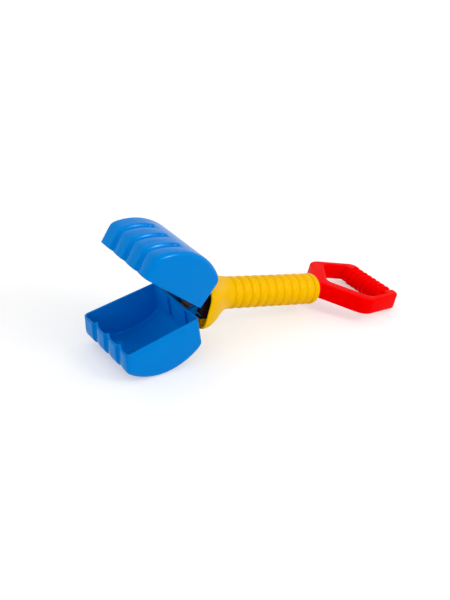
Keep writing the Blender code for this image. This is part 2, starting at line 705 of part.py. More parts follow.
def pull_handle():
    loop = plate("pull_handle", handle_outline(), HANDLE_HEIGHT, Matrix())
    handle = place("pull_handle", loop, RED)
    edge = handle.modifiers.new("edge", "BEVEL")
    edge.width = HANDLE_EDGE
    edge.segments = 1
    edge.limit_method = "ANGLE"
    edge.angle_limit = HANDLE_EDGE_ANGLE
    grip_axis = HANDLE_REAR - GRIP_RADIUS
    grip_half = HANDLE_HALF_END - HANDLE_RAIL / 2
    profile = [(0, grip_half)]
    ridge_end = HANDLE_HALF_END - HANDLE_RAIL
    for step in range(2 * GRIP_RIDGE_COUNT + 1):
        depth = GRIP_RIDGE_DEPTH if step % 2 == 0 else 0
        profile.append((GRIP_RADIUS - depth, mix(ridge_end, -ridge_end, step / (2 * GRIP_RIDGE_COUNT))))
    profile.insert(1, (GRIP_RADIUS - GRIP_RIDGE_DEPTH, grip_half))
    profile += [(GRIP_RADIUS - GRIP_RIDGE_DEPTH, -grip_half), (0, -grip_half)]
    combine(handle, turned("grip", profile, "Y", (grip_axis, 0, 0)), "UNION")
    tip = SLEEVE_FRONT + SLEEVE_FLOOR + FIT_GAP
    spigot = cylinder("spigot", ROD_RADIUS, tip, HANDLE_START + HANDLE_WEB / 2, "X", (0, 0, 0), ROUND_SIDES)
    combine(handle, spigot, "UNION")
    combine(handle, join_hole(), "DIFFERENCE")
    half = SLEEVE_RADIUS - FIT_GAP
    place("join_pin", cylinder("join_pin", JOIN_PIN_RADIUS, -half, half, "Y", (JOIN_AT, 0, 0)), STEEL)


def outline_points(name):
    """World (x, z) of every corner of a piece as it is finally shaped."""
    piece = bpy.data.objects[name]
    mesh = evaluated_mesh(piece)
    return numpy.array([tuple(piece.matrix_world @ vert.co) for vert in mesh.vertices])


def lowest(points, tilt):
    return (points[:, 2] * cos(tilt) - points[:, 0] * sin(tilt)).min()


def lay_down():
    """Tilt the toy until the lower scoop and the handle both touch the ground, and centre it."""
    bpy.context.view_layer.update()
    scoop = outline_points("lower_jaw")
    handle = outline_points("pull_handle")
    level = 0.0
    steep = STEEPEST_TILT
    for _ in range(TILT_HALVINGS):
        tilt = (level + steep) / 2
        if lowest(scoop, tilt) < lowest(handle, tilt):
            level = tilt
        else:
            steep = tilt
    AXIS.rotation_euler = (0, tilt, 0)
    bpy.context.view_layer.update()
    pieces = [piece for piece in PARTS.objects if piece.type == "MESH"]
    points = numpy.concatenate([outline_points(piece.name) for piece in pieces])
    low = points.min(axis=0)
    high = points.max(axis=0)
    AXIS.location = (-(low[0] + high[0]) / 2, -(low[1] + high[1]) / 2, -low[2])
    bpy.context.view_layer.update()


grip_body()
hinge_blocks()
hinge_pins()
jaw("upper_jaw", (0, 0, HINGE_OFFSET), (0, SWING, 0))
jaw("lower_jaw", (0, 0, -HINGE_OFFSET), (pi, -SWING, 0))
push_rod()
bushes()
pull_handle()
lay_down()
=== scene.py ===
"""Toy sand grabber: the looks of its scoops, ribbed grip and pull handle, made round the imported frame."""
import json
from math import asin, atan2, cos, pi, radians, sin

import bmesh
import bpy
from mathutils import Matrix, Vector


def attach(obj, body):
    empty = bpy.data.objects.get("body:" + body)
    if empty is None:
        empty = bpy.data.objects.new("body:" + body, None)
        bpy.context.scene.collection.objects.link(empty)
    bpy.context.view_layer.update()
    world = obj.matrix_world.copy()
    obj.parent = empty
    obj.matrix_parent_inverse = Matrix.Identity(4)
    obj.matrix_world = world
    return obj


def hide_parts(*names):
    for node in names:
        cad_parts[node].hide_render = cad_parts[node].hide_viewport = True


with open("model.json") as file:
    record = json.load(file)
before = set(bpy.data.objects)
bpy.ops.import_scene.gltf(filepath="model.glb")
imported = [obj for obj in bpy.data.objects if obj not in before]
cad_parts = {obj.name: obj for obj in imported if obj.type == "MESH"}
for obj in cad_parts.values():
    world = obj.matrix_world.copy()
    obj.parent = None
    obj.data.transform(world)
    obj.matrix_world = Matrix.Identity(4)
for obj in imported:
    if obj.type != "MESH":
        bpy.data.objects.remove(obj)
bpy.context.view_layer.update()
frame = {"nodes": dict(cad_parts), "record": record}


# Grip body
# One hollow moulding in yellow plastic: a tube with rounded rings for a wet hand, flaring into a wide
# flat head that is open at the front. A lip at the rear closes the tube round the handle's spigot.
MM = 0.001
TUBE_END = 199 * MM
TUBE_RADIUS = 20 * MM
BORE_RADIUS = 16 * MM
LIP_RADIUS = 7.6 * MM
LIP_LENGTH = 3 * MM
END_ROUND = 4.5 * MM
RING_START = 58.4 * MM
RING_COUNT = 10
RING_DEPTH = 2.6 * MM
RING_FULLNESS = 0.5
RING_STEPS = 18
COLLAR_LENGTH = 9.3 * MM
COLLAR_RISE = 2.2 * MM
HEAD_MOUTH = -3 * MM
HEAD_END = 57 * MM
HEAD_ROWS = 40
MOUTH_HALF_WIDTH = 49.4 * MM
MOUTH_HALF_HEIGHT = 27 * MM
MOUTH_WALL = 2.5 * MM
MOUTH_ROUND = 1.2 * MM
MOUTH_SQUARENESS = 5
TUBE_SQUARENESS = 2
BODY_SIDES = 112
ARC_STEPS = 8
BOSS_LOW = Vector((-1.5, 27.9, -24.2)) * MM
BOSS_HIGH = Vector((9, 35.9, -14)) * MM
SCREW_AT = Vector((4.5, 31.9, 0)) * MM
SCREW_SINK_RADIUS = 3.3 * MM
SCREW_SINK_TOP = -22.9 * MM
SCREW_HOLE_RADIUS = 1.8 * MM
CUT_LENGTH = 30 * MM
SAME_PLACE = 0.01 * MM
SHARP_ANGLE = radians(35)
YELLOW = (0.96, 0.53, 0.0, 1.0)
YELLOW_GLOSS = (0.34, 0.48)
YELLOW_SPECULAR = 0.05
HUE_IN_SHEEN = 0.94
SKIN_CLOUDS = (("flow", 24, 3), ("scuff", 210, 4), ("grain", 1500, 2))   # name, clouds in a metre, detail
FLOW_MOTTLE = 0.03
GRAIN_STRENGTH = 0.1
GRAIN_HEIGHT = 0.05 * MM

joints = {joint["name"]: joint for joint in frame["record"]["behaviour"]["joints"]}
slide = Vector(joints["plunger_slide"]["axis"]).normalized()
upper_hinge = Vector(joints["upper_jaw_hinge"]["pos_m"])
lower_hinge = Vector(joints["lower_jaw_hinge"]["pos_m"])
tube_dip = Matrix.Rotation(atan2(-slide.z, slide.x), 4, "Y")
tube_axis = Matrix.Translation((upper_hinge + lower_hinge) / 2) @ tube_dip


def mix(start, end, share):
    return start + (end - start) * share


def eased(share):
    """A share that starts and stops gently."""
    return share * share * (3 - 2 * share)


def wire(shape, points):
    """A chain of edges through the points."""
    corners = [shape.verts.new(point) for point in points]
    for one, other in zip(corners, corners[1:]):
        shape.edges.new((one, other))
    return corners


def spun(points, axis, sides, closed):
    """A shape turned from a profile; a closed profile makes a ring-shaped wall."""
    shape = bmesh.new()
    corners = wire(shape, points)
    if closed:
        shape.edges.new((corners[-1], corners[0]))
    bmesh.ops.spin(
        shape,
        geom=shape.verts[:] + shape.edges[:],
        cent=(0, 0, 0),
        axis=axis,
        dvec=(0, 0, 0),
        angle=2 * pi,
        steps=sides,
        use_merge=True,
        use_duplicate=False,
    )
    bmesh.ops.remove_doubles(shape, verts=shape.verts, dist=SAME_PLACE)
    bmesh.ops.recalc_face_normals(shape, faces=shape.faces)
    return shape


def body_profile():
    """The wall's outline as (distance, radius): outside from mouth to rear, round the lip, back inside."""
    points = []
    for step in range(ARC_STEPS + 1):
        turn = pi * step / ARC_STEPS
        share = (1 - cos(turn)) / 2
        points.append((HEAD_MOUTH + MOUTH_ROUND * (1 - sin(turn)), mix(BORE_RADIUS, TUBE_RADIUS, share)))
    for row in range(1, HEAD_ROWS + 1):
        points.append((mix(HEAD_MOUTH + MOUTH_ROUND, HEAD_END, row / HEAD_ROWS), TUBE_RADIUS))
    collar = TUBE_END - COLLAR_LENGTH
    pitch = (collar - RING_START) / RING_COUNT
    for step in range(RING_COUNT * RING_STEPS + 1):
        share = (step % RING_STEPS) / RING_STEPS
        swell = sin(pi * share) ** RING_FULLNESS
        points.append((RING_START + pitch * step / RING_STEPS, TUBE_RADIUS - RING_DEPTH * (1 - swell)))
    for step in range(1, ARC_STEPS + 1):
        share = step / ARC_STEPS
        swell = sin(pi / 2 * share) ** RING_FULLNESS
        points.append((collar + COLLAR_RISE * share, TUBE_RADIUS - RING_DEPTH * (1 - swell)))
    for step in range(ARC_STEPS + 1):
        turn = pi / 2 * step / ARC_STEPS
        along = TUBE_END - END_ROUND * (1 - sin(turn))
        points.append((along, TUBE_RADIUS - END_ROUND * (1 - cos(turn))))
    lip_inside = TUBE_END - LIP_LENGTH
    points += [(TUBE_END, LIP_RADIUS), (lip_inside, LIP_RADIUS), (lip_inside, BORE_RADIUS)]
    for row in range(HEAD_ROWS, 0, -1):
        points.append((mix(HEAD_MOUTH + MOUTH_ROUND, HEAD_END, row / HEAD_ROWS), BORE_RADIUS))
    return [(along, 0, radius) for along, radius in points]


def flare_head(shape):
    """Spread the round tube into the wide, squarish head."""
    for vert in shape.verts:
        if vert.co.x > HEAD_END:
            continue
        radius = Vector((vert.co.y, vert.co.z)).length
        across = vert.co.y / radius
        up = vert.co.z / radius
        outward = (radius - BORE_RADIUS) / (TUBE_RADIUS - BORE_RADIUS)
        blend = eased((vert.co.x - HEAD_MOUTH) / (HEAD_END - HEAD_MOUTH))
        squareness = mix(MOUTH_SQUARENESS, TUBE_SQUARENESS, blend)
        reach = (abs(across) ** squareness + abs(up) ** squareness) ** (-1 / squareness)
        wall = mix(MOUTH_WALL, 0, outward)
        half_width = mix(MOUTH_HALF_WIDTH - wall, radius, blend)
        half_height = mix(MOUTH_HALF_HEIGHT - wall, radius, blend)
        vert.co.y = half_width * reach * across
        vert.co.z = half_height * reach * up


def made_object(name, shape):
    """A piece from a bmesh, smooth shaded, with its hard edges kept."""
    mesh = bpy.data.meshes.new(name)
    shape.to_mesh(mesh)
    shape.free()
    piece = bpy.data.objects.new(name, mesh)
    bpy.context.scene.collection.objects.link(piece)
    mesh.shade_smooth()
    mesh.set_sharp_from_angle(angle=SHARP_ANGLE)
    return piece


def block(low, high):
    """A plain box between two corners, to join to a piece or cut from it."""
    shape = bmesh.new()
    bmesh.ops.create_cube(shape, size=1)
    size = Vector(high) - Vector(low)
    middle = (Vector(high) + Vector(low)) / 2
    to_place = Matrix.Translation(middle) @ Matrix.Diagonal((*size, 1))
    bmesh.ops.transform(shape, matrix=to_place, verts=shape.verts)
    return shape


def bar(radius, length, place, turn=Matrix(), sides=40):
    """A round bar centred on a place, along Z until it is turned."""
    shape = bmesh.new()
    bmesh.ops.create_cone(
        shape,
        cap_ends=True,
        segments=sides,
        radius1=radius,
        radius2=radius,
        depth=length,
    )
    bmesh.ops.transform(shape, matrix=Matrix.Translation(place) @ turn, verts=shape.verts)
    return shape


def worked(piece, steps):
    """Join shapes to a piece or cut them from it, and keep the result as its own mesh."""
    tools = []
    for operation, shape in steps:
        tool = made_object("tool", shape)
        step = piece.modifiers.new("work", "BOOLEAN")
        step.operation = operation
        step.solver = "EXACT"
        step.object = tool
        tools.append(tool)
    graph = bpy.context.evaluated_depsgraph_get()
    mesh = bpy.data.meshes.new_from_object(piece.evaluated_get(graph))
    piece.modifiers.clear()
    mesh.name = piece.name
    piece.data = mesh
    mesh.shade_smooth()
    mesh.set_sharp_from_angle(angle=SHARP_ANGLE)
    for tool in tools:
        bpy.data.objects.remove(tool)


def moulded_skin():
    """Moulded plastic's surface: faint flow mottling, uneven gloss and the tool's fine grain."""
    group = bpy.data.node_groups.new("moulded_skin", "ShaderNodeTree")
    face = group.interface
    face.new_socket(name="Place", in_out="INPUT", socket_type="NodeSocketVector")
    face.new_socket(name="Colour", in_out="INPUT", socket_type="NodeSocketColor")
    face.new_socket(name="Mottle", in_out="INPUT", socket_type="NodeSocketFloat")
    face.new_socket(name="Gloss low", in_out="INPUT", socket_type="NodeSocketFloat")
    face.new_socket(name="Gloss high", in_out="INPUT", socket_type="NodeSocketFloat")
    face.new_socket(name="Colour", in_out="OUTPUT", socket_type="NodeSocketColor")
    face.new_socket(name="Roughness", in_out="OUTPUT", socket_type="NodeSocketFloat")
    face.new_socket(name="Height", in_out="OUTPUT", socket_type="NodeSocketFloat")
    nodes = group.nodes
    join = group.links.new
    given = nodes.new("NodeGroupInput")
    result = nodes.new("NodeGroupOutput")
    clouds = {}
    for name, scale, detail in SKIN_CLOUDS:
        cloud = nodes.new("ShaderNodeTexNoise")
        cloud.inputs["Scale"].default_value = scale
        cloud.inputs["Detail"].default_value = detail
        join(given.outputs["Place"], cloud.inputs["Vector"])
        clouds[name] = cloud.outputs["Fac"]
    darkest = nodes.new("ShaderNodeMath")
    darkest.operation = "SUBTRACT"
    darkest.inputs[0].default_value = 1
    join(given.outputs["Mottle"], darkest.inputs[1])
    lightest = nodes.new("ShaderNodeMath")
    lightest.operation = "ADD"
    lightest.inputs[0].default_value = 1
    join(given.outputs["Mottle"], lightest.inputs[1])
    value = nodes.new("ShaderNodeMapRange")
    join(clouds["flow"], value.inputs["Value"])
    join(darkest.outputs[0], value.inputs["To Min"])
    join(lightest.outputs[0], value.inputs["To Max"])
    tint = nodes.new("ShaderNodeHueSaturation")
    join(given.outputs["Colour"], tint.inputs["Color"])
    join(value.outputs["Result"], tint.inputs["Value"])
    join(tint.outputs["Color"], result.inputs["Colour"])
    gloss = nodes.new("ShaderNodeMapRange")
    join(clouds["scuff"], gloss.inputs["Value"])
    join(given.outputs["Gloss low"], gloss.inputs["To Min"])
    join(given.outputs["Gloss high"], gloss.inputs["To Max"])
    join(gloss.outputs["Result"], result.inputs["Roughness"])
    join(clouds["grain"], result.inputs["Height"])
    return group


SKIN = moulded_skin()


def plastic(name, colour, gloss, specular):
    """A coloured plastic with the moulded skin; gloss is the range of its roughness."""
    material = bpy.data.materials.new(name)
    material.use_nodes = True
    nodes = material.node_tree.nodes
    join = material.node_tree.links.new
    shader = nodes["Principled BSDF"]
    shader.inputs["Specular IOR Level"].default_value = specular
    shader.inputs["Specular Tint"].default_value = [mix(1, part, HUE_IN_SHEEN) for part in colour]
    place = nodes.new("ShaderNodeTexCoord")
    skin = nodes.new("ShaderNodeGroup")
    skin.node_tree = SKIN
    skin.inputs["Colour"].default_value = colour
    skin.inputs["Mottle"].default_value = FLOW_MOTTLE
    skin.inputs["Gloss low"].default_value = gloss[0]
    skin.inputs["Gloss high"].default_value = gloss[1]
    bump = nodes.new("ShaderNodeBump")
    bump.inputs["Strength"].default_value = GRAIN_STRENGTH
    bump.inputs["Distance"].default_value = GRAIN_HEIGHT
    join(place.outputs["Object"], skin.inputs["Place"])
    join(skin.outputs["Colour"], shader.inputs["Base Color"])
    join(skin.outputs["Roughness"], shader.inputs["Roughness"])
    join(skin.outputs["Height"], bump.inputs["Height"])
    join(bump.outputs["Normal"], shader.inputs["Normal"])
    return material


def coat(piece, material):
    piece.data.materials.clear()
    piece.data.materials.append(material)


yellow_plastic = plastic("yellow_plastic", YELLOW, YELLOW_GLOSS, YELLOW_SPECULAR)
body_shape = spun(body_profile(), (1, 0, 0), BODY_SIDES, closed=True)
flare_head(body_shape)
grip = made_object("grip_shell", body_shape)
head_work = []
for side in (-1, 1):
    boss_low = (BOSS_LOW.x, min(side * BOSS_LOW.y, side * BOSS_HIGH.y), BOSS_LOW.z)
    boss_high = (BOSS_HIGH.x, max(side * BOSS_LOW.y, side * BOSS_HIGH.y), BOSS_HIGH.z)
    head_work.append(("UNION", block(boss_low, boss_high)))
for side in (-1, 1):
    screw = Vector((SCREW_AT.x, side * SCREW_AT.y, 0))
    sink_middle = screw + Vector((0, 0, SCREW_SINK_TOP - CUT_LENGTH / 2))
    hole_middle = screw + Vector((0, 0, -CUT_LENGTH / 2))
    head_work.append(("DIFFERENCE", bar(SCREW_SINK_RADIUS, CUT_LENGTH, sink_middle)))
    head_work.append(("DIFFERENCE", bar(SCREW_HOLE_RADIUS, CUT_LENGTH, hole_middle)))
worked(grip, head_work)
grip.data.transform(tube_axis)
coat(grip, yellow_plastic)
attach(grip, "body")
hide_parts("grip_body")


# Hinge
# Two moulded blocks inside the head hold the ends of two plain steel pins, and a screw from below
# pulls each block onto its boss. The blocks are coloured near black as painted shade for the dark inside
# of the head. The pins are cut from bright wire, and the screws are zinc plated.
# Near black standing in for the shade inside the head's mouth: painted shade, not the blocks' own colour.
BLOCK_PAINTED_SHADE = (0.022, 0.008, 0.016, 1.0)
BLOCK_GLOSS = (0.45, 0.6)
BLOCK_SPECULAR = 0.3
STEEL = (0.62, 0.62, 0.64, 1.0)
STEEL_DULL_SHARE = 0.8
STEEL_GLOSS = (0.2, 0.42)
STREAKS_PER_METRE = 900
DRAWN_ALONG_Y = (1.0, 0.05, 1.0)
PLATED_EVENLY = (1.0, 1.0, 1.0)


def bright_steel(name, lines):
    """Bright steel whose gloss and shade vary in fine streaks; a small number draws them out that way."""
    material = bpy.data.materials.new(name)
    material.use_nodes = True
    nodes = material.node_tree.nodes
    join = material.node_tree.links.new
    shader = nodes["Principled BSDF"]
    shader.inputs["Metallic"].default_value = 1.0
    place = nodes.new("ShaderNodeTexCoord")
    stretch = nodes.new("ShaderNodeMapping")
    stretch.inputs["Scale"].default_value = lines
    streaks = nodes.new("ShaderNodeTexNoise")
    streaks.inputs["Scale"].default_value = STREAKS_PER_METRE
    gloss = nodes.new("ShaderNodeMapRange")
    gloss.inputs["To Min"].default_value = STEEL_GLOSS[0]
    gloss.inputs["To Max"].default_value = STEEL_GLOSS[1]
    shade = nodes.new("ShaderNodeMix")
    shade.data_type = "RGBA"
    shade.inputs["A"].default_value = STEEL
    shade.inputs["B"].default_value = [STEEL_DULL_SHARE * part for part in STEEL[:3]] + [1.0]
    join(place.outputs["Object"], stretch.inputs["Vector"])
    join(stretch.outputs["Vector"], streaks.inputs["Vector"])
    join(streaks.outputs["Fac"], gloss.inputs["Value"])
    join(gloss.outputs["Result"], shader.inputs["Roughness"])
    join(streaks.outputs["Fac"], shade.inputs["Factor"])
    join(shade.outputs["Result"], shader.inputs["Base Color"])
    return material


block_painted_shade = plastic("block_painted_shade", BLOCK_PAINTED_SHADE, BLOCK_GLOSS, BLOCK_SPECULAR)
wire_steel = bright_steel("wire_steel", DRAWN_ALONG_Y)
screw_steel = bright_steel("screw_steel", PLATED_EVENLY)
# The hinge blocks take the near-black painted-shade material.
for name in ("hinge_block_left", "hinge_block_right"):
    coat(frame["nodes"][name], block_painted_shade)
for name in ("upper_hinge_pin", "lower_hinge_pin"):
    coat(frame["nodes"][name], wire_steel)
for name in ("block_screw_left", "block_screw_right"):
    coat(frame["nodes"][name], screw_steel)


# Scoops
# Two blue mouldings of one outline, thin-walled buckets with a curved back. Stepped grooves run up the
# front and over the back like fingers, and hinge lugs with curved slots stand on hollow ribs behind.
HINGE_OFFSET = (upper_hinge - lower_hinge).length / 2
SWING = radians(joints["upper_jaw_hinge"]["range_deg"][1])
SCOOP_REAR = -11.85 * MM
SCOOP_FRONT = -110.5 * MM
SCOOP_HALF_WIDTH = 48.2 * MM
SCOOP_DEPTH = 52.8 * MM
SHUT_GAP_HALF = 0.3 * MM
SCOOP_RIM = SHUT_GAP_HALF - HINGE_OFFSET
SCOOP_WALL = 2.5 * MM
BACK_RADIUS = 77.6 * MM
BACK_CREST = -54.3 * MM
KNEE = -113.4 * MM
KNEE_TOP = 17.3 * MM
SCOOP_HEART = Vector((-62, 0, 4)) * MM
FRONT_FLARE = 3.4 * MM
SIDE_SPREAD = 0.8 * MM
REAR_ROUND = 4 * MM
BACK_ROUND = 5.9 * MM
FRONT_ROUND = 6 * MM
ROUND_CHANGE = 8
LINE_SPACING = 1.05 * MM
CORNER_SOFTENING = 28
COLUMNS = 170
FLAT_HALF = 39 * MM
FLAT_SHARE = 0.82
RIM_ROUND = 0.7 * MM
RIM_STEPS = 3
RIM_ANGLE = radians(45)
RIM_SPARE = 4 * MM
FACES_DOWN = 0.9
FACES_FRONT = 0.9
FACES_REAR = 0.6
GROOVE_PITCH = 25 * MM
GROOVE_STEEP = 3 * MM
GROOVE_EASY = 14 * MM
GROOVE_DEPTH_RIM = 4.5 * MM
GROOVE_DEPTH_KNEE = 2.4 * MM
GROOVE_DEPTH_END = 3.9 * MM
GROOVE_END = -77 * MM
GROOVE_END_ROUND = 4 * MM
RIB_PLACES = (-14.2 * MM, 23.8 * MM)
RIB_CORE_HALF = 4.65 * MM
RIB_CORE_LOW = -6.3 * MM
RIB_CORE_HIGH = 23.5 * MM
LUG_OVERLAP = 0.05 * MM
CAD_SAME_PLACE = 0.001 * MM
BLUE = (0.0, 0.236, 0.725, 1.0)
BLUE_GLOSS = (0.18, 0.28)
BLUE_SPECULAR = 0.08


def straight(start, end):
    """Evenly spaced points from one place to another, without the last."""
    count = round((end - start).length / LINE_SPACING)
    return [mix(start, end, step / count) for step in range(count)]


def scoop_line():
    """The side view as (x, z): up the rear wall, over the back, down the front, with softened corners."""
    centre = Vector((BACK_CREST, SCOOP_DEPTH - HINGE_OFFSET - BACK_RADIUS))
    rear_lean = asin((SCOOP_REAR - BACK_CREST) / BACK_RADIUS)
    front_lean = asin((KNEE - BACK_CREST) / BACK_RADIUS)
    steps = round((rear_lean - front_lean) * BACK_RADIUS / LINE_SPACING)
    back = []
    for step in range(steps + 1):
        lean = mix(rear_lean, front_lean, step / steps)
        back.append(centre + BACK_RADIUS * Vector((sin(lean), cos(lean))))
    rear_foot = Vector((SCOOP_REAR, SCOOP_RIM - RIM_SPARE))
    front_rim = Vector((SCOOP_FRONT, SCOOP_RIM))
    front_foot = mix(back[-1], front_rim, (back[-1].y - rear_foot.y) / (back[-1].y - front_rim.y))
    line = straight(rear_foot, back[0]) + back[:-1] + straight(back[-1], front_foot) + [front_foot]
    for _ in range(CORNER_SOFTENING):
        softer = [(one + 2 * here + other) / 4 for one, here, other in zip(line, line[1:], line[2:])]
        line = [line[0], *softer, line[-1]]
    return line


def shoulder(share, round_by):
    """The skin on its way from the middle to a side: how far out, and how far in from the side view."""
    if share <= FLAT_SHARE:
        return FLAT_HALF * share / FLAT_SHARE, 0
    level = SCOOP_HALF_WIDTH - FLAT_HALF - round_by
    run = (level + round_by * pi / 2) * (share - FLAT_SHARE) / (1 - FLAT_SHARE)
    turn = max(0, run - level) / round_by
    return FLAT_HALF + min(run, level) + round_by * sin(turn), round_by * (1 - cos(turn))


def scoop_skin():
    """The outer skin of a shut scoop, with the hinge at the origin, mouth down and front towards -X."""
    line = scoop_line()
    last = len(line) - 1
    shape = bmesh.new()
    bmesh.ops.create_grid(shape, x_segments=last, y_segments=COLUMNS, size=1)
    sides = ([], [])
    ends = ([], [])
    for vert in shape.verts:
        at = round((vert.co.x + 1) / 2 * last)
        along = (line[min(at + 1, last)] - line[max(at - 1, 0)]).normalized()
        outward = Vector((along.y, -along.x))
        wall_round = REAR_ROUND if outward.x > 0 else FRONT_ROUND
        out, into = shoulder(abs(vert.co.y), mix(BACK_ROUND, wall_round, outward.x ** ROUND_CHANGE))
        place = line[at] - outward * into
        far = vert.co.y > 0
        if round(abs(vert.co.y) * COLUMNS) == COLUMNS:
            sides[far].append(vert)
            if at in (0, last):
                ends[far].append(vert)
        vert.co = (place.x, out if far else -out, place.y)
    for side, corners in zip(sides, ends):
        edges = []
        for edge in shape.edges:
            if edge.is_boundary and all(vert in side for vert in edge.verts):
                edges.append(edge)
        edges.append(shape.edges.new(corners))
        bmesh.ops.contextual_create(shape, geom=edges)
    bmesh.ops.contextual_create(shape, geom=[edge for edge in shape.edges if edge.is_boundary])
    bmesh.ops.recalc_face_normals(shape, faces=shape.faces)
    mouth = []
    for face in shape.faces:
        below_rim = max(vert.co.z for vert in face.verts) < SCOOP_RIM - RIM_SPARE / 2
        if below_rim and abs(face.normal.z) > FACES_DOWN:
            mouth.append(face)
    bmesh.ops.delete(shape, geom=mouth, context="FACES_ONLY")
    return shape


def give_wall(piece):
    """Thicken the smooth skin inwards."""
    wall = piece.modifiers.new("wall", "SOLIDIFY")
    wall.thickness = SCOOP_WALL
    wall.offset = -1
    wall.use_even_offset = True
    worked(piece, [])


def clamped(value):
    return min(1, max(0, value))


def press_grooves(shape, steep_side):
    """Grooves from the rim up the front and over the back: a step on one side, an easy slope on the other.

    Both faces of the wall move together, so that it keeps its thickness.
    """
    shape.normal_update()
    moves = []
    for vert in shape.verts:
        place = vert.co
        outward = vert.normal if vert.normal.dot(place - SCOOP_HEART) > 0 else -vert.normal
        to_end = (GROOVE_END - place.x) / GROOVE_END_ROUND
        if to_end <= 0 or outward.x > FACES_REAR:
            continue
        strength = (1 - (1 - min(1, to_end)) ** 2) ** 0.5
        if outward.x < -FACES_FRONT:
            down = clamped((KNEE_TOP - place.z) / (KNEE_TOP - SCOOP_RIM))
            depth = mix(GROOVE_DEPTH_KNEE, GROOVE_DEPTH_RIM, down)
        else:
            back = clamped((place.x - KNEE) / (GROOVE_END - KNEE))
            depth = mix(GROOVE_DEPTH_KNEE, GROOVE_DEPTH_END, back)
        dip = 0
        for groove in (-1, 0, 1):
            off_line = (place.y - groove * GROOVE_PITCH) * steep_side
            if 0 <= off_line < GROOVE_STEEP:
                dip = max(dip, 1 - eased(off_line / GROOVE_STEEP))
            elif -GROOVE_EASY < off_line < 0:
                dip = max(dip, (1 + off_line / GROOVE_EASY) ** 2)
        moves.append((vert, outward * (-depth * strength * dip)))
    for vert, move in moves:
        vert.co += move


def draw_sides(shape):
    """Side walls that spread a little away from the rim, and more towards the front."""
    for vert in shape.verts:
        forward = (SCOOP_REAR - vert.co.x) / (SCOOP_REAR - SCOOP_FRONT)
        height = (vert.co.z - SCOOP_RIM) / SCOOP_DEPTH
        vert.co.y *= 1 + (FRONT_FLARE * forward + SIDE_SPREAD * height) / SCOOP_HALF_WIDTH


def trim_rim(shape):
    """Cut the rim flat and round its two edges."""
    bmesh.ops.bisect_plane(
        shape,
        geom=shape.verts[:] + shape.edges[:] + shape.faces[:],
        dist=SAME_PLACE,
        plane_co=(0, 0, SCOOP_RIM),
        plane_no=(0, 0, 1),
        clear_inner=True,
    )
    bmesh.ops.bridge_loops(shape, edges=[edge for edge in shape.edges if edge.is_boundary])
    bmesh.ops.recalc_face_normals(shape, faces=shape.faces)
    edges = []
    for edge in shape.edges:
        on_rim = max(vert.co.z for vert in edge.verts) < SCOOP_RIM + SAME_PLACE
        if on_rim and edge.calc_face_angle(0) > RIM_ANGLE:
            edges.append(edge)
    bmesh.ops.bevel(
        shape,
        geom=edges,
        offset=RIM_ROUND,
        segments=RIM_STEPS,
        profile=0.5,
        affect="EDGES",
        material=-1,
    )


def hinge_lugs(node, to_scoop):
    """The lugs and ribs behind the rear wall, taken over from the frame's own scoop."""
    shape = bmesh.new()
    shape.from_mesh(frame["nodes"][node].data)
    bmesh.ops.remove_doubles(shape, verts=shape.verts, dist=CAD_SAME_PLACE)
    bmesh.ops.transform(shape, matrix=to_scoop, verts=shape.verts)
    lugs = made_object("lugs", shape)
    near_low = (SCOOP_REAR - LUG_OVERLAP, -SCOOP_HALF_WIDTH, SCOOP_FRONT)
    far_high = (-SCOOP_FRONT, SCOOP_HALF_WIDTH, -SCOOP_FRONT)
    worked(lugs, [("INTERSECT", block(near_low, far_high))])
    taken = bmesh.new()
    taken.from_mesh(lugs.data)
    bpy.data.objects.remove(lugs)
    return taken


blue_plastic = plastic("blue_plastic", BLUE, BLUE_GLOSS, BLUE_SPECULAR)
upper_place = tube_axis @ Matrix.Translation((0, 0, HINGE_OFFSET)) @ Matrix.Rotation(SWING, 4, "Y")
lower_place = tube_axis @ Matrix.Translation((0, 0, -HINGE_OFFSET)) @ Matrix.Rotation(-SWING, 4, "Y")
lower_place = lower_place @ Matrix.Rotation(pi, 4, "X")
for node, place, steep_side in (("upper_jaw", upper_place, 1), ("lower_jaw", lower_place, -1)):
    scoop = made_object(f"{node}_scoop", scoop_skin())
    give_wall(scoop)
    scoop_shape = bmesh.new()
    scoop_shape.from_mesh(scoop.data)
    press_grooves(scoop_shape, steep_side)
    draw_sides(scoop_shape)
    trim_rim(scoop_shape)
    scoop_shape.to_mesh(scoop.data)
    scoop_shape.free()
    rear_work = []
    for y in RIB_PLACES:
        core_low = (SCOOP_REAR - 2 * SCOOP_WALL, y - RIB_CORE_HALF, RIB_CORE_LOW)
        core_high = (SCOOP_REAR + SCOOP_WALL, y + RIB_CORE_HALF, RIB_CORE_HIGH)
        rear_work.append(("DIFFERENCE", block(core_low, core_high)))
    rear_work.append(("UNION", hinge_lugs(node, place.inverted())))
    worked(scoop, rear_work)
    scoop.data.transform(place)
    coat(scoop, blue_plastic)
    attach(scoop, node)
    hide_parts(node)


# Pull rod and bushes
# A red moulded rod runs through two plain white bushes in the tube. A steel pin across its nose drives
# the scoops, and another one holds the handle's spigot in its sleeve.
RED = (0.985, 0.0, 0.0, 1.0)
RED_GLOSS = (0.34, 0.48)
RED_SPECULAR = 0.015
BUSH_WHITE = (0.78, 0.78, 0.74, 1.0)
BUSH_GLOSS = (0.45, 0.6)
BUSH_SPECULAR = 0.4

red_plastic = plastic("red_plastic", RED, RED_GLOSS, RED_SPECULAR)
bush_plastic = plastic("bush_plastic", BUSH_WHITE, BUSH_GLOSS, BUSH_SPECULAR)
coat(frame["nodes"]["push_rod"], red_plastic)
for name in ("drive_pin", "join_pin"):
    coat(frame["nodes"][name], wire_steel)
for name in ("front_bush", "rear_bush"):
    coat(frame["nodes"][name], bush_plastic)


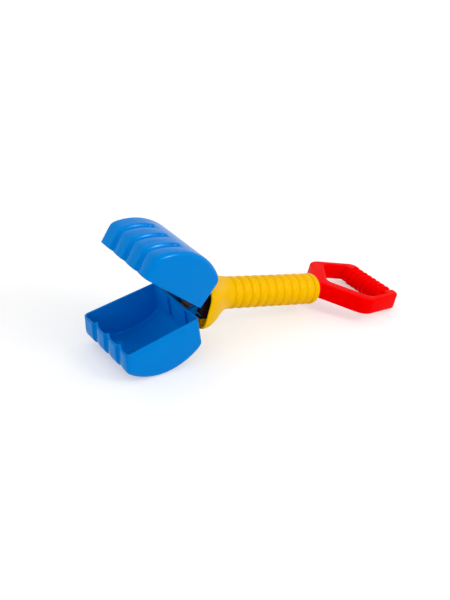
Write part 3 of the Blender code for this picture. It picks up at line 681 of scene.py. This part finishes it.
# Pull handle
# One red moulding: a flat loop whose bars spread from a short neck, with a ribbed cross grip at the rear
# and a round spigot that goes into the tube.
HANDLE_START = 199.8 * MM
HANDLE_NECK_END = 209.3 * MM
HANDLE_HALF_NECK = 9 * MM
HANDLE_WIDEST = Vector((245.6, 62.2)) * MM
HANDLE_END = Vector((317.2, 47.2)) * MM
HANDLE_HOLE_TIP = Vector((228.1, 3)) * MM
HANDLE_BEND = Vector((260.3, 49.3)) * MM
HANDLE_TAIL = Vector((296, 33)) * MM
HANDLE_HEIGHT = 21.4 * MM
HANDLE_EDGE = 2.4 * MM
HANDLE_EDGE_STEPS = 4
CORNER_ROUNDS = (
    (HANDLE_WIDEST, 13 * MM),
    (HANDLE_END, 8 * MM),
    (HANDLE_BEND, 8 * MM),
    (HANDLE_HOLE_TIP, 1.5 * MM),
)
CORNER_STEPS = 8
GRIP_RADIUS = 13.8 * MM
GRIP_AT = 304.4 * MM
GRIP_RIDGES = 8
GRIP_RIDGE_DEPTH = 3.5 * MM
GRIP_FULLNESS = 0.8
GRIP_RIDGE_STEPS = 12
GRIP_HALF = 34.1 * MM
GRIP_ROOT_HALF = 38.4 * MM
GRIP_SIDES = 64
SPIGOT_RADIUS = 7 * MM
SPIGOT_TIP = 144.5 * MM
SPIGOT_ROOT = 214 * MM
SPIGOT_SIDES = 48


def handle_loop():
    """The loop without its cross grip: the outline as one face, corners rounded, raised and edged."""
    shape = bmesh.new()
    root = Vector((HANDLE_START, HANDLE_HALF_NECK))
    neck = Vector((HANDLE_NECK_END, HANDLE_HALF_NECK))
    rear = Vector((HANDLE_END.x, HANDLE_TAIL.y))
    rail = (HANDLE_END - HANDLE_WIDEST).normalized()
    along = (HANDLE_TAIL.x - HANDLE_BEND.x) / rail.x
    inside = HANDLE_BEND + rail * along
    arm = [root, neck, HANDLE_WIDEST, HANDLE_END, rear, HANDLE_TAIL, inside, HANDLE_BEND, HANDLE_HOLE_TIP]
    low = -HANDLE_HEIGHT / 2
    outline = [(x, y, low) for x, y in arm] + [(x, -y, low) for x, y in reversed(arm)]
    corners = wire(shape, outline)
    shape.edges.new((corners[-1], corners[0]))
    bmesh.ops.contextual_create(shape, geom=shape.edges[:])
    for corner, by in CORNER_ROUNDS:
        at = []
        for vert in shape.verts:
            if (Vector((vert.co.x, abs(vert.co.y))) - corner).length < SAME_PLACE:
                at.append(vert)
        bmesh.ops.bevel(
            shape,
            geom=at,
            offset=by,
            segments=CORNER_STEPS,
            profile=0.5,
            affect="VERTICES",
            material=-1,
        )
    drawn = bmesh.ops.extrude_face_region(shape, geom=shape.faces[:])
    raised = [item for item in drawn["geom"] if isinstance(item, bmesh.types.BMVert)]
    bmesh.ops.translate(shape, vec=(0, 0, HANDLE_HEIGHT), verts=raised)
    bmesh.ops.recalc_face_normals(shape, faces=shape.faces)
    rims = []
    for edge in shape.edges:
        if abs(edge.verts[0].co.z - edge.verts[1].co.z) < SAME_PLACE:
            rims.append(edge)
    bmesh.ops.bevel(
        shape,
        geom=rims,
        offset=HANDLE_EDGE,
        segments=HANDLE_EDGE_STEPS,
        profile=0.5,
        affect="EDGES",
        material=-1,
    )
    return shape


def cross_grip():
    """The round bar across the rear, with soft ridges for the fingers."""
    valley = GRIP_RADIUS - GRIP_RIDGE_DEPTH
    profile = [(0, -GRIP_ROOT_HALF, 0), (0, -GRIP_ROOT_HALF, valley)]
    for step in range(GRIP_RIDGES * GRIP_RIDGE_STEPS + 1):
        share = step / (GRIP_RIDGES * GRIP_RIDGE_STEPS)
        swell = abs(sin(pi * GRIP_RIDGES * share)) ** GRIP_FULLNESS
        profile.append((0, mix(-GRIP_HALF, GRIP_HALF, share), valley + GRIP_RIDGE_DEPTH * swell))
    profile += [(0, GRIP_ROOT_HALF, valley), (0, GRIP_ROOT_HALF, 0)]
    shape = spun(profile, (0, 1, 0), GRIP_SIDES, closed=False)
    bmesh.ops.translate(shape, vec=(GRIP_AT, 0, 0), verts=shape.verts)
    return shape


handle = made_object("loop_handle", handle_loop())
spigot_middle = ((SPIGOT_TIP + SPIGOT_ROOT) / 2, 0, 0)
lengthwise = Matrix.Rotation(pi / 2, 4, "Y")
spigot = bar(SPIGOT_RADIUS, SPIGOT_ROOT - SPIGOT_TIP, spigot_middle, lengthwise, SPIGOT_SIDES)
worked(handle, [("UNION", cross_grip()), ("UNION", spigot)])
handle.data.transform(tube_axis)
coat(handle, red_plastic)
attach(handle, "plunger")
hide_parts("pull_handle")


# Studio
# A wide matt pale floor under even white light, as for a catalogue picture, with soft lamps at the front
# and the near side and a small one that shows only in the sheen. The camera is set from the tube's axis.
WHITE = (1, 1, 1, 1)
FLOOR_HALF = 12.0
FLOOR_COLOUR = (0.7, 0.7, 0.7, 1.0)
FLOOR_ROUGHNESS = 0.9
FLOOR_LIFT_NEAR = 0.41
FLOOR_LIFT_FAR = 0.55
FLOOR_LIFT_FROM = 0.5
FLOOR_LIFT_TO = 3.0
CAMERA_PLACE = Vector((-726.4, -871.28, 465.87)) * MM
CAMERA_RIGHT = Vector((0.78294, -0.57, 0.24911))
CAMERA_FORWARD = Vector((0.62067, 0.68809, -0.37597))
CAMERA_LENS = 62.1
SENSOR_LONG_SIDE = 36
SKY_STRENGTH = 0.76
TOY_MIDDLE = Vector((-0.05, 0, 0.06))
KEY_PLACE = Vector((0.515, -0.98, 1.08))
LAMPS = (   # name, place, width, watts, sheen only
    ("softbox", KEY_PLACE, 0.5, 4, False),
    ("glint", KEY_PLACE, 0.22, 80, True),
    ("wide_fill", Vector((0.7, -1.9, 0.7)), 2.0, 6, False),
    ("front_fill", Vector((-1.9, -0.4, 0.7)), 1.6, 5, False),
)


def seen_directly(tree):
    """One for rays from the camera, also by way of gloss or glass, and nought for soft scattered light."""
    ray = tree.nodes.new("ShaderNodeLightPath")
    seen = ray.outputs["Is Camera Ray"]
    for kind in ("Is Glossy Ray", "Is Transmission Ray"):
        either = tree.nodes.new("ShaderNodeMath")
        either.operation = "MAXIMUM"
        tree.links.new(seen, either.inputs[0])
        tree.links.new(ray.outputs[kind], either.inputs[1])
        seen = either.outputs[0]
    return seen


def pale_floor():
    """Matt white that keeps the toy's shadow and is lifted to a clean white for the camera."""
    material = bpy.data.materials.new("pale_floor")
    material.use_nodes = True
    nodes = material.node_tree.nodes
    join = material.node_tree.links.new
    shader = nodes["Principled BSDF"]
    shader.inputs["Base Color"].default_value = FLOOR_COLOUR
    shader.inputs["Roughness"].default_value = FLOOR_ROUGHNESS
    shader.inputs["Specular IOR Level"].default_value = 0
    shader.inputs["Emission Color"].default_value = WHITE
    place = nodes.new("ShaderNodeTexCoord")
    distance = nodes.new("ShaderNodeVectorMath")
    distance.operation = "LENGTH"
    fade = nodes.new("ShaderNodeMapRange")
    fade.inputs["From Min"].default_value = FLOOR_LIFT_FROM
    fade.inputs["From Max"].default_value = FLOOR_LIFT_TO
    fade.inputs["To Min"].default_value = FLOOR_LIFT_NEAR
    fade.inputs["To Max"].default_value = FLOOR_LIFT_FAR
    lift = nodes.new("ShaderNodeMath")
    lift.operation = "MULTIPLY"
    join(place.outputs["Object"], distance.inputs[0])
    join(distance.outputs["Value"], fade.inputs["Value"])
    join(seen_directly(material.node_tree), lift.inputs[0])
    join(fade.outputs["Result"], lift.inputs[1])
    join(lift.outputs[0], shader.inputs["Emission Strength"])
    return material


floor_shape = bmesh.new()
bmesh.ops.create_grid(floor_shape, x_segments=1, y_segments=1, size=FLOOR_HALF)
floor = made_object("floor", floor_shape)
coat(floor, pale_floor())

world = bpy.data.worlds.new("white_room")
world.use_nodes = True
sky = world.node_tree.nodes["Background"]
sky.inputs["Color"].default_value = WHITE
white_or_sky = world.node_tree.nodes.new("ShaderNodeMath")
white_or_sky.operation = "MAXIMUM"
white_or_sky.inputs[0].default_value = SKY_STRENGTH
world.node_tree.links.new(seen_directly(world.node_tree), white_or_sky.inputs[1])
world.node_tree.links.new(white_or_sky.outputs[0], sky.inputs["Strength"])
bpy.context.scene.world = world

for name, place, width, watts, sheen_only in LAMPS:
    lamp = bpy.data.lights.new(name, "AREA")
    lamp.size = width
    lamp.energy = watts
    light = bpy.data.objects.new(name, lamp)
    light.visible_diffuse = not sheen_only
    light.location = place
    light.rotation_euler = (TOY_MIDDLE - place).to_track_quat("-Z", "Y").to_euler()
    bpy.context.scene.collection.objects.link(light)

camera_data = bpy.data.cameras.new("camera")
camera_data.lens = CAMERA_LENS
camera_data.sensor_width = SENSOR_LONG_SIDE
camera = bpy.data.objects.new("camera", camera_data)
forward = CAMERA_FORWARD.normalized()
right = (CAMERA_RIGHT - CAMERA_RIGHT.dot(forward) * forward).normalized()
up = right.cross(forward)
aim = Matrix((right, up, -forward)).transposed().to_4x4()
camera.matrix_world = tube_axis @ Matrix.Translation(CAMERA_PLACE) @ aim
bpy.context.scene.collection.objects.link(camera)
bpy.context.scene.camera = camera
bpy.context.scene.view_settings.view_transform = "Standard"
